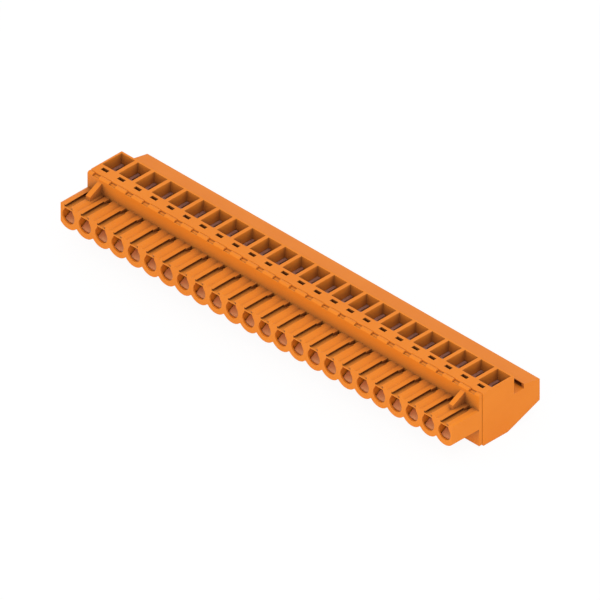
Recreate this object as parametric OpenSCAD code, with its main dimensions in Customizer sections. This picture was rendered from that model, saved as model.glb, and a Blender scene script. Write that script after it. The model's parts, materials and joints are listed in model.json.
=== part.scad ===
// Pluggable terminal block: a row of screw clamps with a socket for a pin header.
// X runs along the row, -Y is the plug side, +Y the screwdriver side, +Z up.
// The origin is the centre of the bounding box, at the level of its lowest face.

/* [Row] */
// Number of poles side by side
poles = 24; // [2:1:24]
// Distance from pole to pole
pitch = 5.08; // [5.0:0.02:5.4]

/* [Clamp housing] */
// Height of the housing
housing_h = 14.0; // [13.6:0.1:16]
// Depth from the seam to the back face
housing_d = 17.65; // [17.4:0.05:19]
// Length of the flat underside behind the seam
underside_d = 7.7; // [6.5:0.1:8.5]
// Height of the back face's lower edge
back_low_z = 3.75; // [3.3:0.05:3.85]
// Height of the back face's upper edge
back_top_z = 9.35; // [9.0:0.05:9.6]
// Chamfer on the housing's edges along the seam
seam_chamfer = 0.15; // [0.05:0.05:0.25]

/* [Rear trench] */
// Wall between the conductor entries and the trench
ridge_wall = 0.5; // [0.4:0.05:0.8]
// Width of the trench
trench_w = 3.1; // [2.6:0.1:3.4]
// Height of the trench floor
trench_z = 9.2; // [9.1:0.05:9.5]
// Slope of the roof behind the trench, degrees
roof_slope = 12; // [10:1:16]
// Thickness of the roof over its hollows
roof_t = 0.25; // [0.2:0.05:0.4]
// Length of the hollows under the roof
hollow_d = 2.5; // [1.5:0.1:2.6]
// Wall at each side of a hollow
hollow_wall = 0.8; // [0.5:0.1:1.2]

/* [Conductor entries] */
// Width of a conductor entry
entry_w = 4.1; // [4.05:0.01:4.2]
// Length of a conductor entry
entry_d = 6.0; // [5.9:0.05:6.1]
// Distance from the seam to the entries
entry_from_seam = 3.17; // [3.1:0.01:3.3]
// Width of a test slot
test_w = 1.9; // [1.2:0.1:2.2]
// Length of a test slot
test_d = 0.95; // [0.6:0.05:1.2]
// Distance from the seam to the test slots
test_from_seam = 1.47; // [1.2:0.01:1.7]

/* [Screw clamps] */
// Height of the screw axes
screw_z = 6.45; // [6.4:0.01:6.5]
// Width of a clamping yoke
yoke_w = 3.88; // [3.8:0.02:3.9]
// Thickness of the yoke's sheet
yoke_t = 0.75; // [0.6:0.05:0.8]
// Length of the yoke's loop
yoke_d = 5.6; // [5.5:0.05:5.65]
// Height of the yoke's loop
yoke_h = 4.6; // [4.4:0.05:4.65]
// Thickness of the yoke's threaded wall
nut_t = 1.5; // [1.2:0.1:1.6]
// Height of the wire guide above the loop
guide_h = 2.5; // [1.8:0.1:2.7]
// Length of the wire guide
guide_d = 3.5; // [3.2:0.05:3.6]
// Radius of the screw's thread
thread_r = 1.25; // [1.1:0.05:1.3]
// Length of the screw's thread
thread_len = 4.4; // [4.2:0.1:4.6]
// Radius of the screw's head
head_r = 1.95; // [1.8:0.05:2.0]
// Length of the screw's head
head_len = 1.85; // [1.6:0.05:2.2]
// Width of the slot in the head
slot_w = 0.65; // [0.6:0.05:0.8]
// Depth of the slot in the head
slot_d = 0.9; // [0.7:0.05:1.0]
// Wall between the yoke's chamber and the screw's head
shoulder_t = 0.8; // [0.6:0.05:0.9]

/* [Socket front] */
// Thickness of the front plate
plate_t = 1.1; // [0.9:0.05:1.4]
// Height of the front plate's lower edge
plate_low_z = 0.45; // [0.3:0.05:1.2]
// How far the socket front stands back from the housing's ends
front_inset = 0.1; // [0:0.05:0.2]
// Width of the groove along the seam
seam_w = 0.2; // [0.1:0.05:0.3]
// Depth of the groove along the seam
seam_d = 0.35; // [0.2:0.05:0.4]
// Chamfer on the front plate's upper edge
plate_chamfer = 0.35; // [0.1:0.05:0.5]
// Length of the sockets in front of the plate
socket_len = 8.35; // [7.8:0.05:9]
// Height of the sockets' axes
socket_z = 7.1; // [7.0:0.02:7.2]
// Outer radius of a socket's underside
socket_r = 3.25; // [2.9:0.05:3.3]
// Height of a socket's flat top above its axis
socket_top = 2.95; // [2.9:0.05:3.1]
// Width of a socket's flat top
socket_flat_w = 3.7; // [3.5:0.1:4.0]
// Depth of the valley between two sockets' tops
valley_d = 0.3; // [0.15:0.05:0.5]
// Height of the web that joins the undersides, below the axis
web_drop = 2.15; // [1.9:0.05:2.3]
// Radius of the pin opening's round lower half
mouth_r = 1.9; // [1.7:0.05:1.95]
// Width of the pin opening's flat top
mouth_top_w = 2.3; // [1.8:0.1:2.6]
// Height of the pin opening's flat top above its axis
mouth_top = 1.95; // [1.8:0.05:1.95]
// Length of the collar around the pin opening
mouth_d = 0.45; // [0.3:0.05:0.7]
// Width of the contact chamber
chamber_w = 4.0; // [3.8:0.05:4.1]
// Height of the contact chamber
chamber_h = 3.9; // [3.8:0.02:3.96]
// Radius of the contact chamber's corners
chamber_r = 0.5; // [0.3:0.05:0.8]

/* [Coding slots and ribs] */
// Width of a coding slot at the top
coding_w = 1.6; // [1.2:0.1:1.8]
// Undercut at each side of a coding slot
coding_undercut = 0.45; // [0.2:0.05:0.5]
// Depth of a coding slot
coding_d = 0.7; // [0.5:0.05:0.75]
// Thickness of the lips over the undercut
coding_lip = 0.15; // [0.1:0.05:0.3]
// Width of the narrow neck at a coding slot's end
neck_w = 1.1; // [0.8:0.1:1.2]
// Length of the narrow neck at a coding slot's end
neck_d = 1.6; // [1:0.1:2.5]
// Length of the snap hole at the neck's end
snap_d = 0.8; // [0.5:0.05:1.0]
// Thickness of a guide rib
rib_t = 1.3; // [1:0.1:1.4]
// Distance from the row's left end to the left rib's middle
rib_from_left = 4.0; // [3.9:0.1:5]
// Distance from the row's right end to the right rib's middle
rib_from_right = 5.1; // [4.6:0.1:5.6]
// Length of a guide rib in front of the plate
rib_d = 3.75; // [3:0.05:6]
// Height of a guide rib above the sockets at the plate
rib_h = 2.9; // [2:0.05:3.2]
// Height of a guide rib at its blunt tip
rib_tip_h = 0.95; // [0.5:0.05:1.2]

/* [Latches] */
// Width of a latch tongue
latch_w = 1.7; // [1.2:0.1:1.9]
// Thickness of a latch tongue
latch_t = 0.4; // [0.3:0.05:0.5]
// Length of a latch tongue
latch_d = 0.75; // [0.5:0.05:0.8]
// How far a latch tongue lies below the top
latch_drop = 0.5; // [0.3:0.05:0.6]

/* [Contacts] */
// Thickness of the current bar
bar_t = 0.8; // [0.6:0.05:0.85]
// Width of the current bar in the yoke
bar_w = 2.1; // [1.6:0.05:2.1]
// Height of the leg under the yoke
leg_z = 2.0; // [1.6:0.1:2.4]
// Width of the leg
leg_w = 2.4; // [2.0:0.1:2.6]
// Thickness of the riser behind the plate
riser_t = 0.6; // [0.5:0.05:0.8]
// Thickness of the spring arms
arm_t = 0.4; // [0.3:0.05:0.45]
// Width of the spring arms
arm_w = 3.2; // [2.4:0.05:3.3]
// Opening between the arms where they grip the pin
grip_gap = 0.8; // [0.5:0.05:0.9]
// Gap between the collar around the pin opening and the arms' tips
tip_gap = 0.15; // [0.05:0.05:0.5]

/* [Clearances] */
// Gap beside the yoke in its chamber
yoke_gap = 0.15; // [0.1:0.05:0.2]
// Gap around the screw's thread in the yoke
thread_gap = 0.05; // [0.02:0.01:0.08]
// Gap around the screw in the housing
screw_gap = 0.2; // [0.15:0.05:0.22]
// Gap between the screw's head and its shoulder
head_gap = 0.06; // [0.04:0.01:0.1]
// Gap around the fixed contact in its passages
contact_gap = 0.1; // [0.05:0.05:0.15]
// Gap around a latch tongue in its notch
latch_gap = 0.12; // [0.08:0.02:0.2]

/* [Hidden] */
$fn = 48;
eps = 0.01;                                     // overlap of cutters past a face
function padded(i) = i < 10 ? str("0", i) : str(i);

row_w = poles * pitch;
back_y = plate_t + housing_d;                   // Y is counted from the plate's front here
centre_y = (back_y - socket_len) / 2;
function pole_x(i) = (i - 0.5) * pitch;

entry_y = plate_t + entry_from_seam;
entry_end = entry_y + entry_d;
test_y = plate_t + test_from_seam;
ridge_y = entry_end + ridge_wall;
trench_end = ridge_y + trench_w;
function roof_z(y) = back_top_z + (back_y - y) * tan(roof_slope);

// The yoke's loop stands against the rear of its chamber when the clamp is closed
yoke_z = screw_z - yoke_h / 2;
yoke_inner_w = yoke_w - 2 * yoke_t;
guide_end = entry_end - yoke_gap;
yoke_y = guide_end - guide_d;
yoke_end = yoke_y + yoke_d;
clamp_w = yoke_w + 2 * yoke_gap;
clamp_low_z = yoke_z - yoke_gap;
clamp_top_z = yoke_z + yoke_h + yoke_gap;
clamp_end = yoke_end + yoke_gap;
shoulder_y = clamp_end + shoulder_t;
head_y = shoulder_y + head_gap;
thread_y = head_y - thread_len;
driver_r = head_r + screw_gap;

// The fixed bar stands just behind the yoke's front leg
bar_y = yoke_y + yoke_t + contact_gap;
riser_y = plate_t + contact_gap;
tip_y = -socket_len + mouth_d + tip_gap;
arm_root = chamber_h / 2 - arm_t - 3 * contact_gap;

clamp_orange = [0.93, 0.47, 0.12];
socket_orange = [0.93, 0.49, 0.14];

// Extrudes a Y-Z outline along X, centred on the pole
module along_x(w) {
    translate([-w / 2, 0, 0]) rotate([90, 0, 90]) linear_extrude(w) children();
}

// Extrudes an X-Z outline along +Y from y
module along_y(y, d) {
    translate([0, y + d, 0]) rotate([90, 0, 0]) linear_extrude(d) children();
}

// A box centred on the pole in X
module slab(w, y, d, z, h) {
    translate([-w / 2, y, z]) cube([w, d, h]);
}

// A cylinder along +Y on the screw's axis
module on_axis(r, y, d) {
    translate([0, y, screw_z]) rotate([-90, 0, 0]) cylinder(r = r, h = d);
}

// Moves a pole's shapes from the pole's own place to the row's
module at_pole(i) {
    translate([pole_x(i) - row_w / 2, -centre_y, 0]) children();
}

module each_pole() {
    for (i = [1:poles]) at_pole(i) children();
}

// Two rounded corners of an outline w wide, with their centres at height z
module round_end(w, z, r, side) {
    translate([-w / 2 + r, side > 0 ? z : z - r]) square([w - 2 * r, r]);
    for (x = [-w / 2 + r, w / 2 - r]) translate([x, z]) circle(r);
}

// An upright outline about the sockets' axis with rounded corners
module round_outline(w, h, r) {
    translate([0, socket_z]) {
        translate([-w / 2, -h / 2 + r]) square([w, h - 2 * r]);
        round_end(w, -h / 2 + r, r, -1);
        round_end(w, h / 2 - r, r, 1);
    }
}

// ---- Clamp housing ----

// Side outline of the clamp housing, with the seam's chamfers
module housing_outline() {
    polygon([
        [plate_t, seam_chamfer], [plate_t + seam_chamfer, 0],
        [plate_t + underside_d, 0], [back_y, back_low_z], [back_y, back_top_z],
        [trench_end, roof_z(trench_end)], [trench_end, trench_z],
        [ridge_y, trench_z], [ridge_y, housing_h],
        [plate_t + seam_chamfer, housing_h], [plate_t, housing_h - seam_chamfer]
    ]);
}

// Upright edge cutter at x = 0, for a chamfer of size c
module edge_cutter(c) {
    translate([0, 0, -eps]) rotate(45)
        translate([-c / sqrt(2), -c / sqrt(2), 0]) cube([c * sqrt(2), c * sqrt(2), housing_h + 2 * eps]);
}

// The yoke's chamber, its conductor entry above, and the test slot
module clamp_chamber() {
    slab(clamp_w, plate_t - eps, clamp_end - plate_t + eps, clamp_low_z, clamp_top_z - clamp_low_z);
    slab(entry_w, entry_y, entry_d, clamp_top_z - eps, housing_h - clamp_top_z + 2 * eps);
    slab(test_w, test_y, test_d, clamp_top_z - eps, housing_h - clamp_top_z + 2 * eps);
}

// Passage under the chamber for the contact's leg
module leg_passage() {
    slab(leg_w + 2 * contact_gap, plate_t - eps, bar_y + bar_t + contact_gap - plate_t + eps,
        leg_z - contact_gap, clamp_low_z - leg_z + contact_gap + eps);
}

// Hole for the screw's thread, and the wide way in for its head and the screwdriver
module screw_way() {
    on_axis(thread_r + screw_gap, clamp_end - eps, shoulder_t + 2 * eps);
    on_axis(driver_r, shoulder_y, back_y - shoulder_y + eps);
}

// Hollow that opens into the trench and thins the roof's root
module roof_hollow() {
    along_x(pitch - 2 * hollow_wall) polygon([
        [trench_end - eps, trench_z], [trench_end + hollow_d, trench_z],
        [trench_end + hollow_d, roof_z(trench_end + hollow_d) - roof_t],
        [trench_end - eps, roof_z(trench_end - eps) - roof_t]
    ]);
}

// Tongue that snaps into the front plate's notch
module latch_tongue() {
    slab(latch_w, plate_t - latch_d, latch_d + eps, housing_h - latch_drop - latch_t, latch_t);
}

module clamp_housing() {
    color(clamp_orange) {
        difference() {
            translate([0, -centre_y, 0]) along_x(row_w) housing_outline();
            for (s = [-1, 1])
                translate([s * row_w / 2, plate_t - centre_y, 0]) edge_cutter(seam_chamfer);
            each_pole() {
                clamp_chamber();
                leg_passage();
                screw_way();
                roof_hollow();
            }
        }
        each_pole() latch_tongue();
    }
}

// ---- Socket front ----

// Cross-section of one socket: round underside, flat top, web to its neighbours
module socket_outline() {
    translate([0, socket_z]) {
        intersection() {
            circle(socket_r);
            translate([-pitch / 2, -socket_r]) square([pitch, socket_r + eps]);
        }
        polygon([
            [-pitch / 2, -web_drop], [pitch / 2, -web_drop],
            [pitch / 2, socket_top - valley_d], [socket_flat_w / 2, socket_top],
            [-socket_flat_w / 2, socket_top], [-pitch / 2, socket_top - valley_d]
        ]);
    }
}

// Pin opening: round below, drawn in to a flat top
module mouth_outline() {
    translate([0, socket_z]) {
        circle(mouth_r);
        polygon([
            [-mouth_r, 0], [mouth_r, 0], [mouth_top_w / 2, mouth_top], [-mouth_top_w / 2, mouth_top]
        ]);
    }
}

// Pin opening in the collar, and the contact's chamber behind it
module contact_chamber() {
    along_y(-socket_len - eps, mouth_d + 2 * eps) mouth_outline();
    along_y(-socket_len + mouth_d, socket_len - mouth_d + plate_t + eps)
        round_outline(chamber_w, chamber_h, chamber_r);
}

// T-shaped slot along the socket's top, with a neck and a hole for a coding pin's snap
module coding_slot() {
    floor_z = socket_z + socket_top - coding_d;
    inner_w = coding_w + 2 * coding_undercut;
    slot_len = socket_len - neck_d;
    slab(inner_w, -socket_len - eps, slot_len + eps, floor_z, coding_d - coding_lip);
    slab(coding_w, -socket_len - eps, slot_len + eps, floor_z, coding_d + eps);
    slab(neck_w, -neck_d - eps, neck_d + eps, floor_z, coding_d + eps);
    slab(neck_w, -snap_d, snap_d, socket_z, floor_z - socket_z + eps);
}

// Notch in the plate's upper edge, with a deeper pocket for the latch tongue
module latch_notch() {
    notch_w = latch_w + 2 * latch_gap;
    low = latch_drop + latch_t + latch_gap;
    slab(notch_w, -eps, plate_t + 2 * eps, housing_h - latch_drop, latch_drop + eps);
    slab(notch_w, plate_t - latch_d - latch_gap, latch_d + latch_gap + eps,
        housing_h - low, low + eps);
}

// Wedge that keys the plug to its header
module guide_rib() {
    base = socket_z + socket_top;
    along_x(rib_t) polygon([
        [0, base - valley_d], [0, base + rib_h],
        [-rib_d, base + rib_tip_h], [-rib_d, base - valley_d]
    ]);
}

module plate_outline() {
    polygon([
        [0, plate_low_z], [plate_t, plate_low_z],
        [plate_t, housing_h - seam_d], [plate_t - seam_w, housing_h - seam_d],
        [plate_t - seam_w, housing_h], [plate_chamfer, housing_h],
        [0, housing_h - plate_chamfer]
    ]);
}

module socket_front() {
    color(socket_orange) difference() {
        union() {
            translate([0, -centre_y, 0]) along_x(row_w - 2 * front_inset) plate_outline();
            intersection() {
                each_pole() along_y(-socket_len, socket_len + eps) socket_outline();
                translate([front_inset - row_w / 2, -socket_len - centre_y, 0])
                    cube([row_w - 2 * front_inset, socket_len + plate_t, housing_h]);
            }
            translate([rib_from_left - row_w / 2, -centre_y, 0]) guide_rib();
            translate([row_w / 2 - rib_from_right, -centre_y, 0]) guide_rib();
        }
        for (s = [-1, 1]) translate([s * row_w / 2, plate_t - seam_w - centre_y, 0])
            translate([-front_inset - seam_d, 0, 0])
                cube([2 * (front_inset + seam_d), seam_w + eps, housing_h]);
        each_pole() {
            contact_chamber();
            coding_slot();
            latch_notch();
        }
    }
}

// ---- Contacts, yokes and screws ----

// Side outline of one spring arm about the pin's axis: s is 1 for the upper arm
function arm_edge(s, out) = [
    for (p = [
        [riser_y + riser_t, arm_root], [-socket_len / 3, arm_root - 0.15],
        [tip_y + 2.1, grip_gap / 2], [tip_y + 1.6, grip_gap / 2], [tip_y, arm_root + 2 * contact_gap]
    ]) [p.x, socket_z + s * (p.y + out)]
];

module spring_arm(s) {
    near = arm_edge(s, 0);
    far = arm_edge(s, arm_t);
    polygon(concat(near, [for (i = [len(far) - 1:-1:0]) far[i]]));
}

// Sheet-metal contact: bar in the yoke, leg under it, riser, and a fork for the pin
module contact() {
    leg_d = bar_y + bar_t - riser_y;
    root_h = 2 * (arm_root + arm_t);
    slab(bar_w, bar_y, bar_t, leg_z, yoke_z + yoke_h - leg_z - yoke_gap);
    slab(leg_w, riser_y, leg_d, leg_z, bar_t);
    slab(leg_w, riser_y, riser_t, leg_z, socket_z - leg_z);
    slab(arm_w, riser_y, riser_t, socket_z - root_h / 2, root_h);
    for (s = [-1, 1]) along_x(arm_w) spring_arm(s);
}

module socket_contacts() {
    color([0.80, 0.62, 0.50]) each_pole() contact();
}

// Folded steel frame: loop around the bar, threaded rear wall, wire guide above
module yoke() {
    difference() {
        union() {
            slab(yoke_w, yoke_y, yoke_d, yoke_z, yoke_h);
            slab(yoke_w, yoke_y, guide_d, yoke_z, yoke_h + guide_h);
        }
        slab(yoke_inner_w, yoke_y + yoke_t, yoke_d - yoke_t - nut_t, yoke_z - eps,
            yoke_h + guide_h + 2 * eps);
        on_axis(thread_r + thread_gap, yoke_y + yoke_t, yoke_d - yoke_t + eps);
    }
}

// Captive clamp screw with a slotted head
module screw() {
    difference() {
        union() {
            on_axis(thread_r, thread_y, thread_len + eps);
            on_axis(head_r, head_y, head_len);
        }
        translate([0, head_y + head_len - slot_d, screw_z - slot_w / 2])
            translate([-head_r - eps, 0, 0]) cube([2 * (head_r + eps), slot_d + eps, slot_w]);
    }
}

clamp_housing();
socket_front();
socket_contacts();
for (i = [1:poles]) {
    color([0.62, 0.55, 0.52]) at_pole(i) yoke();
    color([0.75, 0.74, 0.72]) at_pole(i) screw();
}
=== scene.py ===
"""Pluggable terminal block: finishes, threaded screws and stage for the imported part."""

import json
import math

import bmesh
import bpy
import numpy as np
from bpy.props import FloatProperty, PointerProperty, StringProperty
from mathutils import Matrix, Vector


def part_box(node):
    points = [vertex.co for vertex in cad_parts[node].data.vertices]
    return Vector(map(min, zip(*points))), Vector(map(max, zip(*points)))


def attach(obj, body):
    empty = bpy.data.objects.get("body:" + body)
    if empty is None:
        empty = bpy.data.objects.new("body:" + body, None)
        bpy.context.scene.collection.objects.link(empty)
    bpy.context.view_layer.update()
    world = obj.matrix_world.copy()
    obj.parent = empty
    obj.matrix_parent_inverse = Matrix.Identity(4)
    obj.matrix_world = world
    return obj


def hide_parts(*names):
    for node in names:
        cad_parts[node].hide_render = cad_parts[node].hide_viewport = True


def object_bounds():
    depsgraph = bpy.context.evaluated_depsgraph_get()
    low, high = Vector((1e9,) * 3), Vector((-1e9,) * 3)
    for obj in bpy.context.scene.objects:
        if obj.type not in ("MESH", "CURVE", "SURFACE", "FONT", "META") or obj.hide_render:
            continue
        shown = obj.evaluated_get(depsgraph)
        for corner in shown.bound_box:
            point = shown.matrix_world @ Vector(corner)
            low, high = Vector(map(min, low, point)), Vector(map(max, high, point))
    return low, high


bl_info = {
    "name": "Pluggable Terminal Block",
    "version": (1, 0, 0),
    "blender": (4, 5, 0),
    "location": "View3D > Sidebar > Terminal Block",
    "description": "Finishes and detail pieces for a row of screw clamps with header sockets",
    "category": "Object",
}

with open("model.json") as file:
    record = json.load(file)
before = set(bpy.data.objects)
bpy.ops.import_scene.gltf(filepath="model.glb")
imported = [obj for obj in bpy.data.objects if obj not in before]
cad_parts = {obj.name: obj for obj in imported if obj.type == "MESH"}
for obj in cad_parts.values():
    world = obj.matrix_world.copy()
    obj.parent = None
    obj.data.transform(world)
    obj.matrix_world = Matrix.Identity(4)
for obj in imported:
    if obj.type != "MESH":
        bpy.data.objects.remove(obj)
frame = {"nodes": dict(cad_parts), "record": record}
CAD_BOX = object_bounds()
NODES = frame["nodes"]
MM = 0.001
ROW_CENTRE = (CAD_BOX[0] + CAD_BOX[1]) / 2
FACE_Y, BACK_Y = CAD_BOX[0].y, CAD_BOX[1].y
SCREWS = sorted(name for name in NODES if name.startswith("clamping_screw_"))
YOKES = sorted(name for name in NODES if name.startswith("clamping_yoke_"))
WHITE = (1.0, 1.0, 1.0, 1.0)


def body_of(node):
    """Name of the body that a CAD node belongs to."""
    bodies = frame["record"]["behaviour"]["bodies"]
    return next(body for body, members in bodies.items() if node in members)


def hex_linear(code):
    """Linear RGBA from an sRGB hex code such as #F08C32."""
    srgb = [int(code[i:i + 2], 16) / 255 for i in (1, 3, 5)]
    linear = [c / 12.92 if c <= 0.04045 else ((c + 0.055) / 1.055) ** 2.4 for c in srgb]
    return (*linear, 1.0)


def add_node(tree, kind, inputs=None, **settings):
    """One shader node with its settings; inputs maps a socket to a value or to another node's output."""
    node = tree.nodes.new(kind)
    for name, value in settings.items():
        setattr(node, name, value)
    for name, value in (inputs or {}).items():
        if isinstance(value, bpy.types.NodeSocket):
            tree.links.new(value, node.inputs[name])
        else:
            node.inputs[name].default_value = value
    return node


def empty_material(name):
    """New material with an empty node tree; returns both."""
    material = bpy.data.materials.new(name)
    material.use_nodes = True
    material.node_tree.nodes.clear()
    return material, material.node_tree


def most_of(tree, first, *others):
    """Largest of several sockets."""
    for other in others:
        first = add_node(tree, "ShaderNodeMath", {0: first, 1: other}, operation="MAXIMUM").outputs[0]
    return first


def set_ramp(ramp, stops):
    """Colour stops of a ramp as (position, colour) pairs."""
    elements = ramp.color_ramp.elements
    while len(elements) < len(stops):
        elements.new(0.5)
    for element, (position, colour) in zip(elements, stops):
        element.position = position
        element.color = colour


# ---- Surfaces from formulas ----

# Vertices closer than this become one
MERGE_DISTANCE = 0.0005 * MM
# Rings of the thread in one turn, and points in each ring
THREAD_RINGS, THREAD_POINTS = 7, 20
# The thread's section is a triangle wave, made steeper by the first number and lowered by the
# second, and then cut off flat at its crest and root
THREAD_STEEPNESS, THREAD_DROP = 1.35, 0.15
# Slices of the screw's head on each side of its slot, and points across a slice
HEAD_SLICES, HEAD_POINTS = 8, 13


def ring_mesh(name, points):
    """Mesh over a grid of points (rings, points in a ring, 3), closed if its end rings have no width.

    Quad (i, j) joins point (i, j) to its neighbours in the same ring and in the next ring.
    """
    rings, around = points.shape[:2]
    here = np.arange(rings * around).reshape(rings, around)
    beside = np.roll(here, -1, axis=1)
    quads = np.stack([here[:-1], beside[:-1], beside[1:], here[1:]], axis=-1).reshape(-1, 4)
    mesh = bpy.data.meshes.new(name)
    mesh.from_pydata(points.reshape(-1, 3).tolist(), [], quads.tolist())
    return mesh


def closed_piece(name, meshes):
    """One object from several closed meshes, with doubles merged and faces turned outwards."""
    bm = bmesh.new()
    for mesh in meshes:
        bm.from_mesh(mesh)
        bpy.data.meshes.remove(mesh)
    bmesh.ops.remove_doubles(bm, verts=bm.verts, dist=MERGE_DISTANCE)
    bmesh.ops.dissolve_degenerate(bm, edges=bm.edges, dist=MERGE_DISTANCE)
    bmesh.ops.recalc_face_normals(bm, faces=bm.faces)
    joined = bpy.data.meshes.new(name)
    bm.to_mesh(joined)
    bm.free()
    piece = bpy.data.objects.new(name, joined)
    bpy.context.scene.collection.objects.link(piece)
    return piece


def threaded_shank(start, end, crest, depth, lead, point):
    """Right-handed screw thread about the Y axis, closed at both ends.

    The radius at angle a and length y is the core's plus the depth times a flat-topped wave of
    y / lead + a / one turn. Near the start it is held under a cone, which makes the point. An end
    ring of no radius closes each end.
    """
    rings = 1 + round((end - start) / lead * THREAD_RINGS)
    along = np.linspace(start, end, rings)[:, None]
    around = np.linspace(0, 2 * np.pi, THREAD_POINTS, endpoint=False)[None, :]
    phase = (along / lead + around / (2 * np.pi)) % 1.0
    wave = np.clip(THREAD_STEEPNESS * (1 - np.abs(2 * phase - 1)) - THREAD_DROP, 0, 1)
    radius = np.minimum(crest - depth + depth * wave, crest - point + (along - start))
    radius = np.pad(radius, ((1, 1), (0, 0)))
    along = np.pad(along, ((1, 1), (0, 0)), mode="edge") + 0 * around
    return np.stack([radius * np.cos(around), along, radius * np.sin(around)], axis=-1)


def slotted_head(start, end, radius, chamfer, slot_w, slot_d):
    """Cheese head about the Y axis, with a chamfered rim and a straight slot along X.

    The head is cut in slices of constant z. Each slice is a chord of the circle, and its
    outer side lies at the end, less the cone of the rim, or at the slot's floor inside the slot.
    """
    half = slot_w / 2
    outer = radius * np.sin(np.linspace(np.arcsin(half / radius), np.pi / 2, HEAD_SLICES))
    inside = np.linspace(-half, half, 4)
    z = np.concatenate([-outer[::-1], inside, outer])[:, None]
    in_slot = np.repeat([False, True, False], [HEAD_SLICES, len(inside), HEAD_SLICES])[:, None]
    chord = np.sqrt(np.maximum(radius ** 2 - z ** 2, 0))
    x = chord * np.sin(np.linspace(-np.pi / 2, np.pi / 2, HEAD_POINTS))[None, :]
    face = end - np.maximum(np.hypot(x, z) - (radius - chamfer), 0)
    face = np.where(in_slot, end - slot_d, face)
    x = np.hstack([x, x[:, ::-1]])
    y = np.hstack([face, np.full_like(face, start)])
    return np.stack([x, y, z + 0 * x], axis=-1)


# ---- Materials ----

# Sockets of a Mix node set to colours: its share, its two colours, and its result
MIX_SHARE, MIX_FROM, MIX_TO, MIX_RESULT = 0, 6, 7, 2
# Noise values between which a tint runs from its deeper to its main colour
TINT_START, TINT_FULL = 0.3, 0.7

# Painted shade of the plastic in a pocket, by how open the place is: dark in slots, brown in wide
# corners
PAINTED_POCKET_SHADE = ((0.0, "#662608"), (0.18, "#6E3612"), (0.45, "#A0622D"), (0.8, "#CC8038"))
# Openness at which the painted pocket shade starts, and at which it is full
POCKET_SHADE_START, POCKET_SHADE_FULL = 0.99, 0.47
# Reach of the painted shade that draws dark lines in joints and narrow grooves, and the openness at
# which it starts and is full
CREASE_SHADE_REACH = 0.7 * MM
CREASE_SHADE_START, CREASE_SHADE_FULL = 0.6, 0.3
# Pockets where the painted shade is lifted again, a painted light: the thin walls round the pins, and
# the trench's floor, which is open at both ends. Each is a set of bands: an axis, where the painted
# light starts, and where it is full
PAINTED_LIGHT_ZONES = (
    (("Z", 9.15 * MM, 8.95 * MM), ("Y", FACE_Y + 5.55 * MM, FACE_Y + 2.05 * MM)),
    (("Z", 9.5 * MM, 9.3 * MM), ("Z", 9.0 * MM, 9.15 * MM),
     ("Y", BACK_Y - 8.25 * MM, BACK_Y - 7.95 * MM), ("Y", BACK_Y - 4.85 * MM, BACK_Y - 4.95 * MM)),
)
# Share of the painted pocket shade that is left in them
PAINTED_SHADE_LEFT = 0.28
# Cosines between the rounded and the flat face at which the painted edge highlight starts to show and
# shows fully
HIGHLIGHT_START, HIGHLIGHT_FULL = 0.999, 0.93
# Size of the faint clouds that the melt leaves as it flows, and height of the eroded grain
FLOW_SIZE = 9 * MM
GRAIN_HEIGHT = 0.02 * MM
# Roughness at the grain's valleys and crests
GRAIN_ROUGHNESS = (0.42, 0.56)

# Painted shade in the slots and grooves of plated metal, the openness at which it starts and is
# full, and its share there
PAINTED_RECESS_SHADE = "#3E3833"
RECESS_SHADE_START, RECESS_SHADE_FULL, RECESS_SHADE_SHARE = 0.85, 0.35, 0.85
# Tool lines run along Y, so their pattern is drawn out that way, and they are this high
LINE_SCALE = (1.0, 0.06, 1.0)
LINE_HEIGHT = 0.01 * MM
# Rounding of sheared and turned metal edges
METAL_EDGE_RADIUS = 0.06 * MM


def painted_light_zone(tree, place, bands):
    """Mask that is one where every band holds: each runs evenly from its start to where it is full."""
    axes = add_node(tree, "ShaderNodeSeparateXYZ", {"Vector": place}).outputs
    mask = 1.0
    for axis, start, full in bands:
        band = add_node(tree, "ShaderNodeMapRange",
                        {"Value": axes[axis], "From Min": start, "From Max": full})
        mask = add_node(tree, "ShaderNodeMath", {0: band.outputs["Result"], 1: mask},
                        operation="MULTIPLY").outputs[0]
    return mask


def pocket_shade_share(tree, place, openness):
    """Share of the painted pocket shade by how closed in the place is.

    It is less in the zones where painted light lifts it, and the painted shade of joints and narrow
    grooves counts where that is more.
    """
    closed = add_node(tree, "ShaderNodeMapRange",
                      {"Value": openness, "From Min": POCKET_SHADE_START, "From Max": POCKET_SHADE_FULL})
    # Painted light: the listed zones keep less of the painted pocket shade
    lit = most_of(tree, *(painted_light_zone(tree, place, bands) for bands in PAINTED_LIGHT_ZONES))
    kept = add_node(tree, "ShaderNodeMapRange", {"Value": lit, "To Min": 1.0, "To Max": PAINTED_SHADE_LEFT})
    pocket = add_node(tree, "ShaderNodeMath",
                      {0: closed.outputs["Result"], 1: kept.outputs["Result"]}, operation="MULTIPLY")
    # Painted shade in joints and narrow grooves, by how closed in the place is
    near = add_node(tree, "ShaderNodeAmbientOcclusion", {"Distance": CREASE_SHADE_REACH}, samples=6)
    crease_shade = add_node(tree, "ShaderNodeMapRange",
                     {"Value": near.outputs["AO"], "From Min": CREASE_SHADE_START, "From Max": CREASE_SHADE_FULL})
    return most_of(tree, pocket.outputs[0], crease_shade.outputs["Result"])


def edge_highlight_share(tree, rounded):
    """Share of the painted edge highlight by how far the rounded normal leans from the face's own."""
    flat = add_node(tree, "ShaderNodeNewGeometry").outputs["Normal"]
    lean = add_node(tree, "ShaderNodeVectorMath", {0: rounded, 1: flat}, operation="DOT_PRODUCT")
    edge = add_node(tree, "ShaderNodeMapRange",
                    {"Value": lean.outputs["Value"], "From Min": HIGHLIGHT_START, "From Max": HIGHLIGHT_FULL})
    return edge.outputs["Result"]


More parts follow.
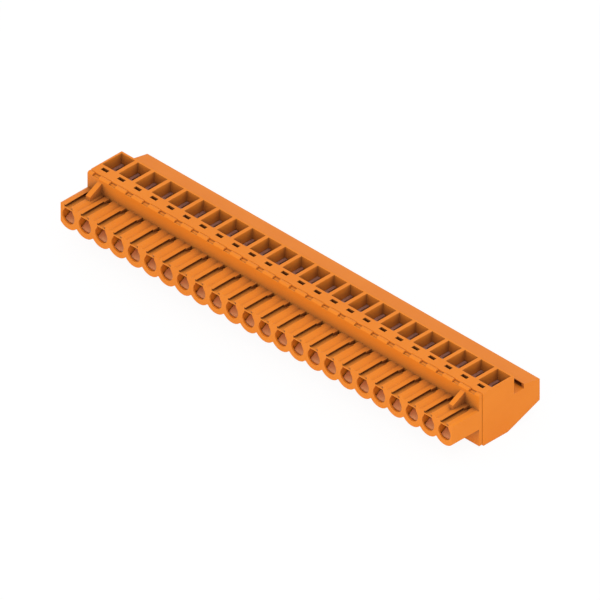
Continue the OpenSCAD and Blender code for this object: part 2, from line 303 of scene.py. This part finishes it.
def moulded_polyamide(name, colour, deep_colour, highlight_colour, grain, edge_radius, painted_shade_reach):
    """Injection-moulded polyamide: satin, even colour, spark-eroded grain, softly rounded edges.

    Its corners and pockets get painted shade, browner the more closed in they are, and its joints
    and narrow grooves get darker painted shade. This painted shade is lifted again, a painted light,
    round the thin walls of the pin openings and on the trench's floor, which is open at its ends.
    The grain is coarser than a real mould's, so that it can show.
    """
    material, tree = empty_material(name)
    place = add_node(tree, "ShaderNodeTexCoord").outputs["Object"]
    rounded = add_node(tree, "ShaderNodeBevel", {"Radius": edge_radius}, samples=6).outputs["Normal"]

    flow = add_node(tree, "ShaderNodeTexNoise",
                    {"Vector": place, "Scale": 1 / FLOW_SIZE, "Detail": 2.0, "Roughness": 0.5})
    tint = add_node(tree, "ShaderNodeValToRGB", {"Fac": flow.outputs["Fac"]})
    set_ramp(tint, [(TINT_START, hex_linear(deep_colour)), (TINT_FULL, hex_linear(colour))])
    # Painted highlight: edges take a lighter colour where the rounded normal leans away
    highlit = add_node(tree, "ShaderNodeMix",
                      {MIX_SHARE: edge_highlight_share(tree, rounded), MIX_FROM: tint.outputs["Color"],
                       MIX_TO: hex_linear(highlight_colour)}, data_type="RGBA")

    # Painted shade: corners and pockets are browned by how closed in they are
    openness = add_node(tree, "ShaderNodeAmbientOcclusion", {"Distance": painted_shade_reach},
                        samples=8, only_local=True).outputs["AO"]
    depth = add_node(tree, "ShaderNodeValToRGB", {"Fac": openness})
    set_ramp(depth, [(at, hex_linear(code)) for at, code in PAINTED_POCKET_SHADE])
    shaded = add_node(tree, "ShaderNodeMix",
                      {MIX_SHARE: pocket_shade_share(tree, place, openness),
                       MIX_FROM: highlit.outputs[MIX_RESULT], MIX_TO: depth.outputs["Color"]},
                      data_type="RGBA")

    eroded = add_node(tree, "ShaderNodeTexNoise",
                      {"Vector": place, "Scale": 1 / grain, "Detail": 3.0, "Roughness": 0.6})
    bump = add_node(tree, "ShaderNodeBump",
                    {"Height": eroded.outputs["Fac"], "Strength": 0.12, "Distance": GRAIN_HEIGHT,
                     "Normal": rounded})
    satin = add_node(tree, "ShaderNodeMapRange",
                     {"Value": eroded.outputs["Fac"], "To Min": GRAIN_ROUGHNESS[0],
                      "To Max": GRAIN_ROUGHNESS[1]})
    shader = add_node(tree, "ShaderNodeBsdfPrincipled",
                      {"Base Color": shaded.outputs[MIX_RESULT], "Roughness": satin.outputs["Result"],
                       "Normal": bump.outputs["Normal"], "IOR": 1.53, "Specular IOR Level": 0.18})
    add_node(tree, "ShaderNodeOutputMaterial", {"Surface": shader.outputs["BSDF"]})
    return material


def worked_metal(name, colour, dull_colour, *, roughness, line, recess_shade_reach, metallic):
    """Rolled or turned metal with a thin coat: fine tool lines, slightly dull, with soft edges.

    A passivated or tinned coat is milky, so part of the light is scattered and not mirrored,
    and its slots and thread grooves get a darker painted shade. The tool lines are drawn wider than
    real ones, so that they can show.
    """
    material, tree = empty_material(name)
    place = add_node(tree, "ShaderNodeTexCoord").outputs["Object"]
    drawn_out = add_node(tree, "ShaderNodeMapping", {"Vector": place, "Scale": LINE_SCALE})
    lines = add_node(tree, "ShaderNodeTexNoise",
                     {"Vector": drawn_out.outputs["Vector"], "Scale": 1 / line, "Detail": 3.0})
    tint = add_node(tree, "ShaderNodeValToRGB", {"Fac": lines.outputs["Fac"]})
    set_ramp(tint, [(TINT_START, hex_linear(dull_colour)), (TINT_FULL, hex_linear(colour))])

    # Painted shade: slots and thread grooves are darkened by how closed in they are
    openness = add_node(tree, "ShaderNodeAmbientOcclusion", {"Distance": recess_shade_reach},
                        samples=6, only_local=True)
    recess_shade = add_node(tree, "ShaderNodeMapRange",
                    {"Value": openness.outputs["AO"], "From Min": RECESS_SHADE_START, "From Max": RECESS_SHADE_FULL,
                     "To Max": RECESS_SHADE_SHARE})
    recess_shaded = add_node(tree, "ShaderNodeMix",
                      {MIX_SHARE: recess_shade.outputs["Result"], MIX_FROM: tint.outputs["Color"],
                       MIX_TO: hex_linear(PAINTED_RECESS_SHADE)}, data_type="RGBA")

    rounded = add_node(tree, "ShaderNodeBevel", {"Radius": METAL_EDGE_RADIUS}, samples=4)
    bump = add_node(tree, "ShaderNodeBump",
                    {"Height": lines.outputs["Fac"], "Strength": 0.1, "Distance": LINE_HEIGHT,
                     "Normal": rounded.outputs["Normal"]})
    polish = add_node(tree, "ShaderNodeMapRange",
                      {"Value": lines.outputs["Fac"], "To Min": roughness - 0.06,
                       "To Max": roughness + 0.1})
    shader = add_node(tree, "ShaderNodeBsdfPrincipled",
                      {"Base Color": recess_shaded.outputs[MIX_RESULT], "Roughness": polish.outputs["Result"],
                       "Normal": bump.outputs["Normal"], "Metallic": metallic})
    add_node(tree, "ShaderNodeOutputMaterial", {"Surface": shader.outputs["BSDF"]})
    return material


def give(node_names, material):
    """Puts one material on every slot of the named CAD nodes."""
    for name in node_names:
        mesh = NODES[name].data
        mesh.materials.clear()
        mesh.materials.append(material)


# ---- Stage ----

FLOOR_SIZE = 4.0
# The floor as it lights the block, and as it is seen: mostly a glow of full white, and the rest
# matt, which keeps the block's soft shadow
FLOOR_BOUNCE, FLOOR_SEEN = "#E8E8E8", "#F4F4F4"
FLOOR_GLOW = 1.02
FLOOR_GLOW_SHARE = 0.92
# Place of the soft key light from the block's middle, and the length of its sides
KEY_LIGHT_PLACE = Vector((0.36, -0.48, 0.3))
KEY_LIGHT_SIZE = 0.6
CAMERA_DISTANCE = 0.6
CAMERA_CLIP_START = 0.01


def white_floor():
    """Pale floor that the camera, gloss and glass see as white and that keeps a soft shadow."""
    material, tree = empty_material("white_studio_floor")
    ray = add_node(tree, "ShaderNodeLightPath").outputs
    seen = most_of(tree, ray["Is Camera Ray"], ray["Is Glossy Ray"], ray["Is Transmission Ray"])
    plain = add_node(tree, "ShaderNodeBsdfDiffuse", {"Color": hex_linear(FLOOR_BOUNCE)})
    matt = add_node(tree, "ShaderNodeBsdfDiffuse", {"Color": hex_linear(FLOOR_SEEN)})
    glow = add_node(tree, "ShaderNodeEmission", {"Color": WHITE, "Strength": FLOOR_GLOW})
    lifted = add_node(tree, "ShaderNodeMixShader",
                      {0: FLOOR_GLOW_SHARE, 1: matt.outputs["BSDF"], 2: glow.outputs["Emission"]})
    both = add_node(tree, "ShaderNodeMixShader",
                    {0: seen, 1: plain.outputs["BSDF"], 2: lifted.outputs["Shader"]})
    add_node(tree, "ShaderNodeOutputMaterial", {"Surface": both.outputs["Shader"]})
    return material


def even_sky(strength):
    """World of even white light, which the camera sees as plain white."""
    world = bpy.data.worlds.new("even_white_sky")
    world.use_nodes = True
    tree = world.node_tree
    tree.nodes.clear()
    ray = add_node(tree, "ShaderNodeLightPath").outputs
    light = add_node(tree, "ShaderNodeBackground", {"Color": WHITE, "Strength": strength})
    backdrop = add_node(tree, "ShaderNodeBackground", {"Color": WHITE, "Strength": 1.0})
    both = add_node(tree, "ShaderNodeMixShader",
                    {0: ray["Is Camera Ray"], 1: light.outputs["Background"],
                     2: backdrop.outputs["Background"]})
    add_node(tree, "ShaderNodeOutputWorld", {"Surface": both.outputs["Shader"]})
    return world


def soft_light(name, place, aim, size, watts):
    """Square soft light at place, turned to aim."""
    lamp = bpy.data.lights.new(name, "AREA")
    lamp.energy = watts
    lamp.size = size
    lamp.shape = "SQUARE"
    light = bpy.data.objects.new(name, lamp)
    bpy.context.scene.collection.objects.link(light)
    light.location = place
    light.rotation_euler = (aim - place).to_track_quat("-Z", "Y").to_euler()


def parallel_camera(aim, azimuth, elevation, width):
    """Camera without perspective that looks at aim and takes in the given width."""
    lens = bpy.data.cameras.new("camera")
    lens.type = "ORTHO"
    lens.ortho_scale = width
    lens.clip_start = CAMERA_CLIP_START
    camera = bpy.data.objects.new("camera", lens)
    bpy.context.scene.collection.objects.link(camera)
    outward = Vector((math.sin(azimuth) * math.cos(elevation),
                      -math.cos(azimuth) * math.cos(elevation), math.sin(elevation)))
    camera.location = aim + outward * CAMERA_DISTANCE
    camera.rotation_euler = (math.pi / 2 - elevation, 0, azimuth)
    return camera


# ---- Settings ----

class TerminalStage(bpy.types.PropertyGroup):
    """Camera and light settings."""
    azimuth: FloatProperty(name="Camera azimuth", default=math.radians(45), subtype="ANGLE",
                           description="Turn of the camera round the block")
    elevation: FloatProperty(name="Camera elevation", default=math.radians(35), subtype="ANGLE",
                             description="Height of the camera above the horizon")
    view_width: FloatProperty(name="View width", default=131.85 * MM, unit="LENGTH",
                              description="Width that the camera takes in")
    sky: FloatProperty(name="Sky strength", default=0.89,
                       description="Strength of the even white light")
    key_power: FloatProperty(name="Key light", default=1.2, unit="POWER",
                             description="Power of the soft key light")


class TerminalFinish(bpy.types.PropertyGroup):
    """Colours and fine sizes of the finishes."""
    housing: StringProperty(name="Housing colour", default="#F38A22",
                            description="sRGB hex of the moulded housing")
    housing_deep: StringProperty(name="Housing flow colour", default="#EF851E",
                                 description="sRGB hex of the slightly deeper streaks")
    # Colour of the painted highlight on the edges
    edge: StringProperty(name="Edge colour", default="#F69434",
                         description="sRGB hex of the softly rubbed edges")
    # The contact and yoke colours are partly the metals' own and partly painted reflection of the orange
    # housing round them
    contact_with_reflection: StringProperty(name="Contact colour", default="#EBA068",
                            description="sRGB hex of the tinned bronze contacts")
    contact_dull_with_reflection: StringProperty(name="Dull contact colour", default="#D58A56",
                                 description="sRGB hex of the contacts' duller tool lines")
    yoke_with_reflection: StringProperty(name="Yoke colour", default="#CFA390",
                         description="sRGB hex of the zinc-plated yokes")
    yoke_dull_with_reflection: StringProperty(name="Dull yoke colour", default="#A98070",
                              description="sRGB hex of the yokes' duller tool lines")
    screw: StringProperty(name="Screw colour", default="#C2C0BC",
                          description="sRGB hex of the zinc-plated screws")
    screw_dull: StringProperty(name="Dull screw colour", default="#9A9894",
                               description="sRGB hex of the screws' duller tool lines")
    grain: FloatProperty(name="Grain", default=0.12 * MM, unit="LENGTH",
                         description="Grain of the mould's surface")
    edge_radius: FloatProperty(name="Edge radius", default=0.09 * MM, unit="LENGTH",
                               description="Rounding of the moulded edges")
    # How far from a corner the painted pocket shade reaches
    painted_shade_reach: FloatProperty(name="Pocket reach", default=4.5 * MM, unit="LENGTH",
                                description="How far from a corner the plastic looks browner")


class TerminalScrews(bpy.types.PropertyGroup):
    """Fine sizes of the clamping screws."""
    thread_radius: FloatProperty(name="Thread radius", default=1.25 * MM, unit="LENGTH",
                                 description="Radius over the thread's crests")
    thread_depth: FloatProperty(name="Thread depth", default=0.24 * MM, unit="LENGTH",
                                description="Depth of the thread's groove")
    lead: FloatProperty(name="Lead", default=0.45 * MM, unit="LENGTH",
                        description="Travel of the thread in one turn")
    point: FloatProperty(name="Point", default=0.45 * MM, unit="LENGTH",
                         description="How far the shank's end is narrowed")
    head_length: FloatProperty(name="Head length", default=1.85 * MM, unit="LENGTH",
                               description="Length of the slotted head")
    rim: FloatProperty(name="Rim chamfer", default=0.18 * MM, unit="LENGTH",
                       description="Chamfer round the head's face")
    slot_width: FloatProperty(name="Slot width", default=0.65 * MM, unit="LENGTH",
                              description="Width of the slot in the head")
    slot_depth: FloatProperty(name="Slot depth", default=0.9 * MM, unit="LENGTH",
                              description="Depth of the slot in the head")


# ---- Operators ----

class TERMINAL_OT_stage(bpy.types.Operator):
    """Floor, even light and the camera"""
    bl_idname = "terminal.stage"
    bl_label = "Stage"

    def execute(self, context):
        settings = context.scene.terminal_stage
        bpy.ops.mesh.primitive_plane_add(size=FLOOR_SIZE)
        floor = context.object
        floor.name = "floor"
        floor.data.materials.append(white_floor())
        context.scene.world = even_sky(settings.sky)
        soft_light("soft_key", ROW_CENTRE + KEY_LIGHT_PLACE, ROW_CENTRE, KEY_LIGHT_SIZE,
                   settings.key_power)
        context.scene.camera = parallel_camera(ROW_CENTRE, settings.azimuth, settings.elevation,
                                               settings.view_width)
        context.scene.view_settings.view_transform = "Standard"
        return {"FINISHED"}


class TERMINAL_OT_mouldings(bpy.types.Operator):
    """Finish of the clamp housing and the socket front"""
    bl_idname = "terminal.mouldings"
    bl_label = "Mouldings"

    def execute(self, context):
        finish = context.scene.terminal_finish
        for node in ("clamp_housing", "socket_front"):
            give([node], moulded_polyamide("orange_polyamide_" + node, finish.housing,
                                           finish.housing_deep, finish.edge, finish.grain,
                                           finish.edge_radius, finish.painted_shade_reach))
        return {"FINISHED"}


class TERMINAL_OT_metal(bpy.types.Operator):
    """Finish of the contacts and yokes"""
    bl_idname = "terminal.metal"
    bl_label = "Contacts and yokes"

    def execute(self, context):
        finish = context.scene.terminal_finish
        # The bronze and yoke colours are partly painted reflection of the orange housing, and partly the
        # metals' own colour
        bronze = worked_metal("rolled_tin_bronze", finish.contact_with_reflection, finish.contact_dull_with_reflection,
                              roughness=0.45, line=0.08 * MM, recess_shade_reach=0.15 * MM, metallic=0.45)
        steel = worked_metal("zinc_plated_folded_steel", finish.yoke_with_reflection, finish.yoke_dull_with_reflection,
                             roughness=0.45, line=0.1 * MM, recess_shade_reach=0.5 * MM, metallic=0.5)
        give(["socket_contacts"], bronze)
        give(YOKES, steel)
        return {"FINISHED"}


class TERMINAL_OT_screws(bpy.types.Operator):
    """Threaded clamping screws with slotted heads"""
    bl_idname = "terminal.screws"
    bl_label = "Clamping screws"

    def execute(self, context):
        size = context.scene.terminal_screws
        finish = context.scene.terminal_finish
        steel = worked_metal("zinc_plated_turned_steel", finish.screw, finish.screw_dull,
                             roughness=0.32, line=0.05 * MM, recess_shade_reach=0.9 * MM, metallic=1.0)
        for node in SCREWS:
            low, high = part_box(node)
            axis = np.array([(low.x + high.x) / 2, 0.0, (low.z + high.z) / 2])
            neck = high.y - size.head_length
            shank = threaded_shank(low.y, neck + size.rim, size.thread_radius, size.thread_depth,
                                   size.lead, size.point)
            head = slotted_head(neck, high.y, (high.x - low.x) / 2, size.rim,
                                size.slot_width, size.slot_depth)
            piece = closed_piece("threaded_" + node, [ring_mesh("shank", shank + axis),
                                                      ring_mesh("head", head + axis)])
            piece.data.materials.append(steel)
            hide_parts(node)
            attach(piece, body_of(node))
        return {"FINISHED"}


class TERMINAL_PT_panel(bpy.types.Panel):
    """Buttons for the stage and each group of pieces"""
    bl_idname = "TERMINAL_PT_panel"
    bl_label = "Terminal Block"
    bl_space_type = "VIEW_3D"
    bl_region_type = "UI"
    bl_category = "Terminal Block"

    def draw(self, context):
        scene = context.scene
        for group in (scene.terminal_stage, scene.terminal_finish, scene.terminal_screws):
            for name in group.__annotations__:
                self.layout.prop(group, name)
        for operator in ("terminal.stage", "terminal.mouldings", "terminal.metal", "terminal.screws"):
            self.layout.operator(operator)


CLASSES = (TerminalStage, TerminalFinish, TerminalScrews, TERMINAL_OT_stage, TERMINAL_OT_mouldings,
           TERMINAL_OT_metal, TERMINAL_OT_screws, TERMINAL_PT_panel)


def register():
    """Adds the classes and their settings on the scene."""
    for cls in CLASSES:
        bpy.utils.register_class(cls)
    bpy.types.Scene.terminal_stage = PointerProperty(type=TerminalStage)
    bpy.types.Scene.terminal_finish = PointerProperty(type=TerminalFinish)
    bpy.types.Scene.terminal_screws = PointerProperty(type=TerminalScrews)


def unregister():
    """Takes the settings and the classes away again."""
    del bpy.types.Scene.terminal_screws
    del bpy.types.Scene.terminal_finish
    del bpy.types.Scene.terminal_stage
    for cls in reversed(CLASSES):
        bpy.utils.unregister_class(cls)


def main():
    """Builds the whole scene."""
    register()
    bpy.ops.terminal.stage()
    bpy.ops.terminal.mouldings()
    bpy.ops.terminal.metal()
    bpy.ops.terminal.screws()


if __name__ == "__main__":
    main()
